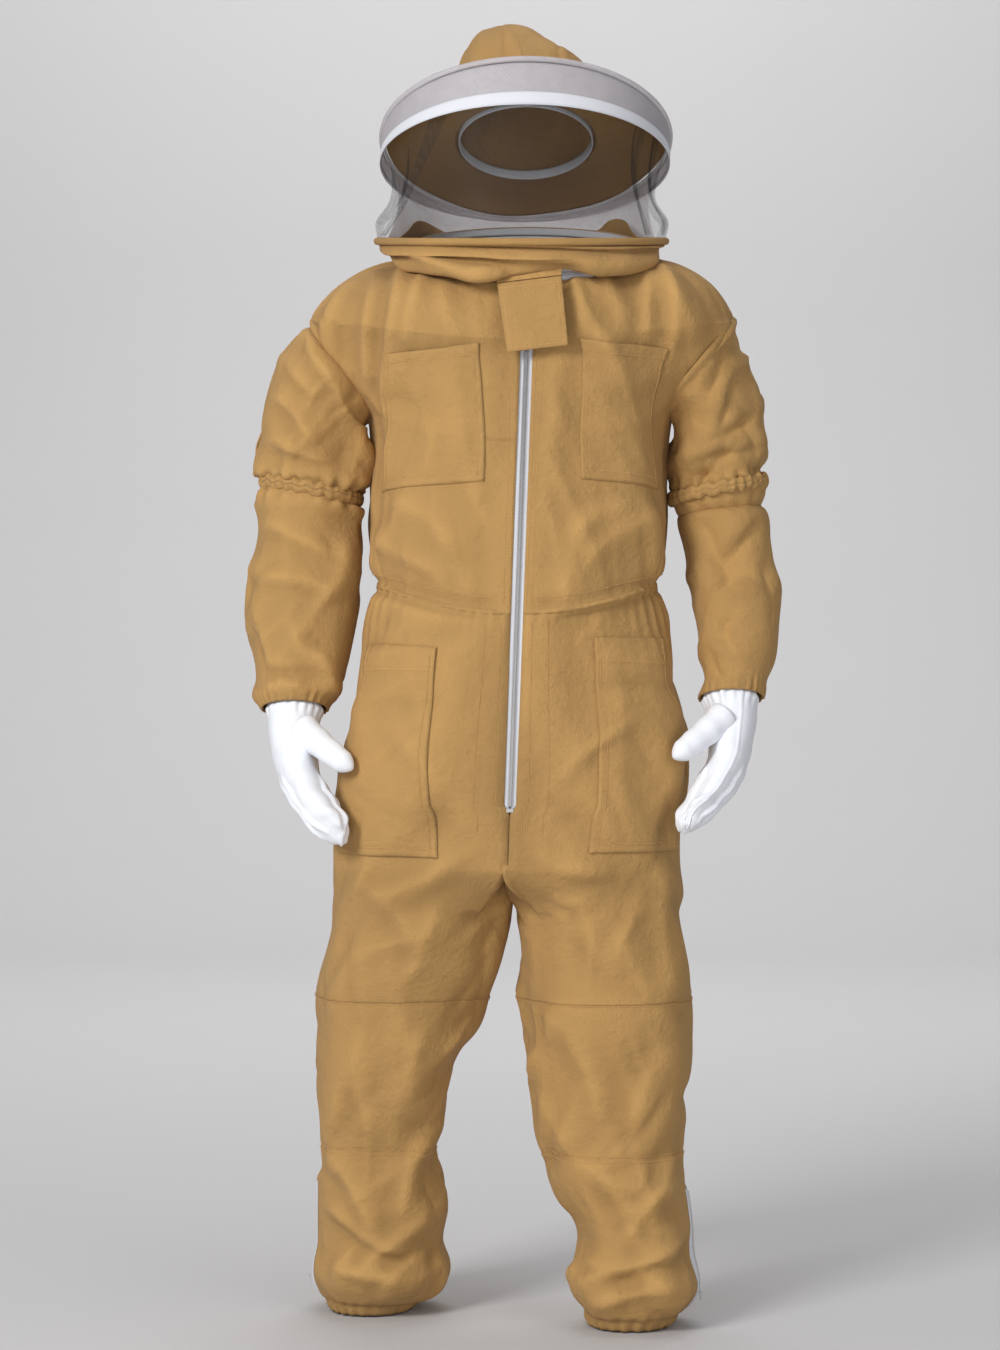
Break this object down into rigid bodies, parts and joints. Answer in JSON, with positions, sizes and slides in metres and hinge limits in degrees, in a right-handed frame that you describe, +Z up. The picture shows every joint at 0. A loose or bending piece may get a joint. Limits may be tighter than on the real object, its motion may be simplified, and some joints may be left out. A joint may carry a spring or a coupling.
{
  "type": "beekeeping suit",
  "caption": "Zip-front cotton coverall for beekeeping with zip-on round veil hood, patch pockets, elasticated sleeves and legs, and leather gloves.",
  "frame": {"origin": "between the wearer's shoulders at the height where the shoulder seams rest, midway through the body", "axes": "+Z up the wearer's body, -Y the front of the suit, +X the wearer's left"},
  "size_m": [0.7197, 0.3962, 1.7503],
  "materials": {
    "khaki_twill": "matt cotton twill",
    "white_tape": "woven tape",
    "white_mesh": "open mesh",
    "black_mesh": "fine open mesh",
    "hook_and_loop": "hook and loop tape",
    "steel": "zip metal",
    "white_leather": "smooth soft leather"
  },
  "bodies": {
    "coverall": {"bodice_front_right": "khaki_twill", "bodice_front_left": "khaki_twill", "bodice_back": "khaki_twill", "hip_front_right": "khaki_twill", "hip_front_left": "khaki_twill", "hip_back_right": "khaki_twill", "hip_back_left": "khaki_twill", "hip_fold_right": "khaki_twill", "hip_fold_left": "khaki_twill", "hip_pocket_right": "khaki_twill", "hip_pocket_left": "khaki_twill", "chest_pocket_right": "khaki_twill", "chest_pocket_left": "khaki_twill", "zip_tape_right": "white_tape", "zip_tape_left": "white_tape", "zip_chain": "steel", "zip_bottom_stop": "steel", "neck_zip_chain": "steel", "neck_zip_tape_body": "white_tape", "neck_zip_tape_nape": "white_tape", "collar_back": "khaki_twill", "flap_loop_pad": "hook_and_loop"},
    "hood": {"neck_zip_tape_hood": "white_tape", "flap_yoke": "khaki_twill", "hood_hoop": "khaki_twill", "collar_front": "khaki_twill", "veil_front": "black_mesh", "veil_back": "white_mesh", "veil_band": "white_mesh", "brim_rim": "white_tape", "brim": "khaki_twill", "crown": "khaki_twill", "sweatband": "white_tape"},
    "neck_flap": {"flap": "khaki_twill", "flap_hook_pad": "hook_and_loop"},
    "front_slider": {"zip_slider": "steel"},
    "front_puller": {"zip_puller": "steel"},
    "neck_slider_right_body": {"neck_slider_right": "steel"},
    "neck_slider_left_body": {"neck_slider_left": "steel"},
    "upper_arm_right": {"upper_sleeve_right": "khaki_twill", "elbow_elastic_right": "khaki_twill", "elbow_fold_right": "khaki_twill", "sleeve_pocket_right": "khaki_twill"},
    "forearm_right": {"forearm_sleeve_right": "khaki_twill"},
    "hand_right": {"glove_right": "white_leather"},
    "upper_leg_right": {"thigh_right": "khaki_twill", "knee_fold_right": "khaki_twill"},
    "lower_leg_right": {"shin_right": "khaki_twill", "ankle_zip_right": "white_tape"},
    "ankle_slider_right_body": {"ankle_slider_right": "steel"},
    "upper_arm_left": {"upper_sleeve_left": "khaki_twill", "elbow_elastic_left": "khaki_twill", "elbow_fold_left": "khaki_twill"},
    "forearm_left": {"forearm_sleeve_left": "khaki_twill"},
    "hand_left": {"glove_left": "white_leather"},
    "upper_leg_left": {"thigh_left": "khaki_twill", "knee_fold_left": "khaki_twill"},
    "lower_leg_left": {"shin_left": "khaki_twill", "ankle_zip_left": "white_tape"},
    "ankle_slider_left_body": {"ankle_slider_left": "steel"}
  },
  "joints": [
    {"name": "front_zip_slide", "type": "slide", "parent": "coverall", "child": "front_slider", "axis": [-0.0361, 0.0104, -0.9993], "range_m": [0, 0.63]},
    {"name": "front_puller_swing", "type": "hinge", "parent": "front_slider", "child": "front_puller", "pos_m": [0.0205, -0.1642, -0.0595], "axis": [-1, 0, 0], "range_deg": [0, 10]},
    {"name": "neck_flap_lift", "type": "hinge", "parent": "hood", "child": "neck_flap", "pos_m": [0.022, -0.174, -0.021], "axis": [-0.9925, 0, -0.1219], "range_deg": [0, 85]},
    {"name": "hood_tip_back", "type": "hinge", "parent": "coverall", "child": "hood", "pos_m": [0.013, 0.2, 0.078], "axis": [-1, 0, 0], "range_deg": [0, 120], "deforming": ["collar_back"]},
    {"name": "neck_slider_left_run", "type": "hinge", "parent": "coverall", "child": "neck_slider_left_body", "pos_m": [0.022, -0.008, 0.03], "axis": [0, -0.2924, 0.9563], "range_deg": [0, 160]},
    {"name": "neck_slider_right_run", "type": "hinge", "parent": "coverall", "child": "neck_slider_right_body", "pos_m": [0.022, -0.008, 0.03], "axis": [0, 0.2924, -0.9563], "range_deg": [0, 160]},
    {"name": "shoulder_right", "type": "hinge", "parent": "coverall", "child": "upper_arm_right", "pos_m": [-0.23274, 0, -0.12], "axis": [-0.8546, 0, -0.5193], "range_deg": [0, 50]},
    {"name": "elbow_right", "type": "hinge", "parent": "upper_arm_right", "child": "forearm_right", "pos_m": [-0.2735, 0.01, -0.295], "axis": [-1, 0, 0], "range_deg": [0, 65], "deforming": ["elbow_fold_right"]},
    {"name": "glove_right_pull", "type": "slide", "parent": "forearm_right", "child": "hand_right", "axis": [0, -0.2756, -0.9613], "range_m": [0, 0.13]},
    {"name": "hip_right", "type": "hinge", "parent": "coverall", "child": "upper_leg_right", "pos_m": [-0.121, 0, -0.825], "axis": [-1, 0, 0], "range_deg": [-15, 40], "deforming": ["hip_fold_right"]},
    {"name": "knee_right", "type": "hinge", "parent": "upper_leg_right", "child": "lower_leg_right", "pos_m": [-0.171, 0.018, -1.063], "axis": [1, 0, 0], "range_deg": [0, 60], "deforming": ["knee_fold_right"]},
    {"name": "ankle_zip_right_slide", "type": "slide", "parent": "lower_leg_right", "child": "ankle_slider_right_body", "axis": [0.0488, -0.1058, 0.9932], "range_m": [0, 0.12]},
    {"name": "shoulder_left", "type": "hinge", "parent": "coverall", "child": "upper_arm_left", "pos_m": [0.25826, 0, -0.12], "axis": [-0.8546, 0, 0.5193], "range_deg": [0, 50]},
    {"name": "elbow_left", "type": "hinge", "parent": "upper_arm_left", "child": "forearm_left", "pos_m": [0.2805, 0.01, -0.295], "axis": [-1, 0, 0], "range_deg": [0, 65], "deforming": ["elbow_fold_left"]},
    {"name": "glove_left_pull", "type": "slide", "parent": "forearm_left", "child": "hand_left", "axis": [0, -0.2756, -0.9613], "range_m": [0, 0.13]},
    {"name": "hip_left", "type": "hinge", "parent": "coverall", "child": "upper_leg_left", "pos_m": [0.119, 0, -0.825], "axis": [-1, 0, 0], "range_deg": [-15, 40], "deforming": ["hip_fold_left"]},
    {"name": "knee_left", "type": "hinge", "parent": "upper_leg_left", "child": "lower_leg_left", "pos_m": [0.127, -0.023, -1.063], "axis": [1, 0, 0], "range_deg": [0, 60], "deforming": ["knee_fold_left"]},
    {"name": "ankle_zip_left_slide", "type": "slide", "parent": "lower_leg_left", "child": "ankle_slider_left_body", "axis": [-0.0734, 0.0693, 0.9949], "range_m": [0, 0.12]}
  ]
}
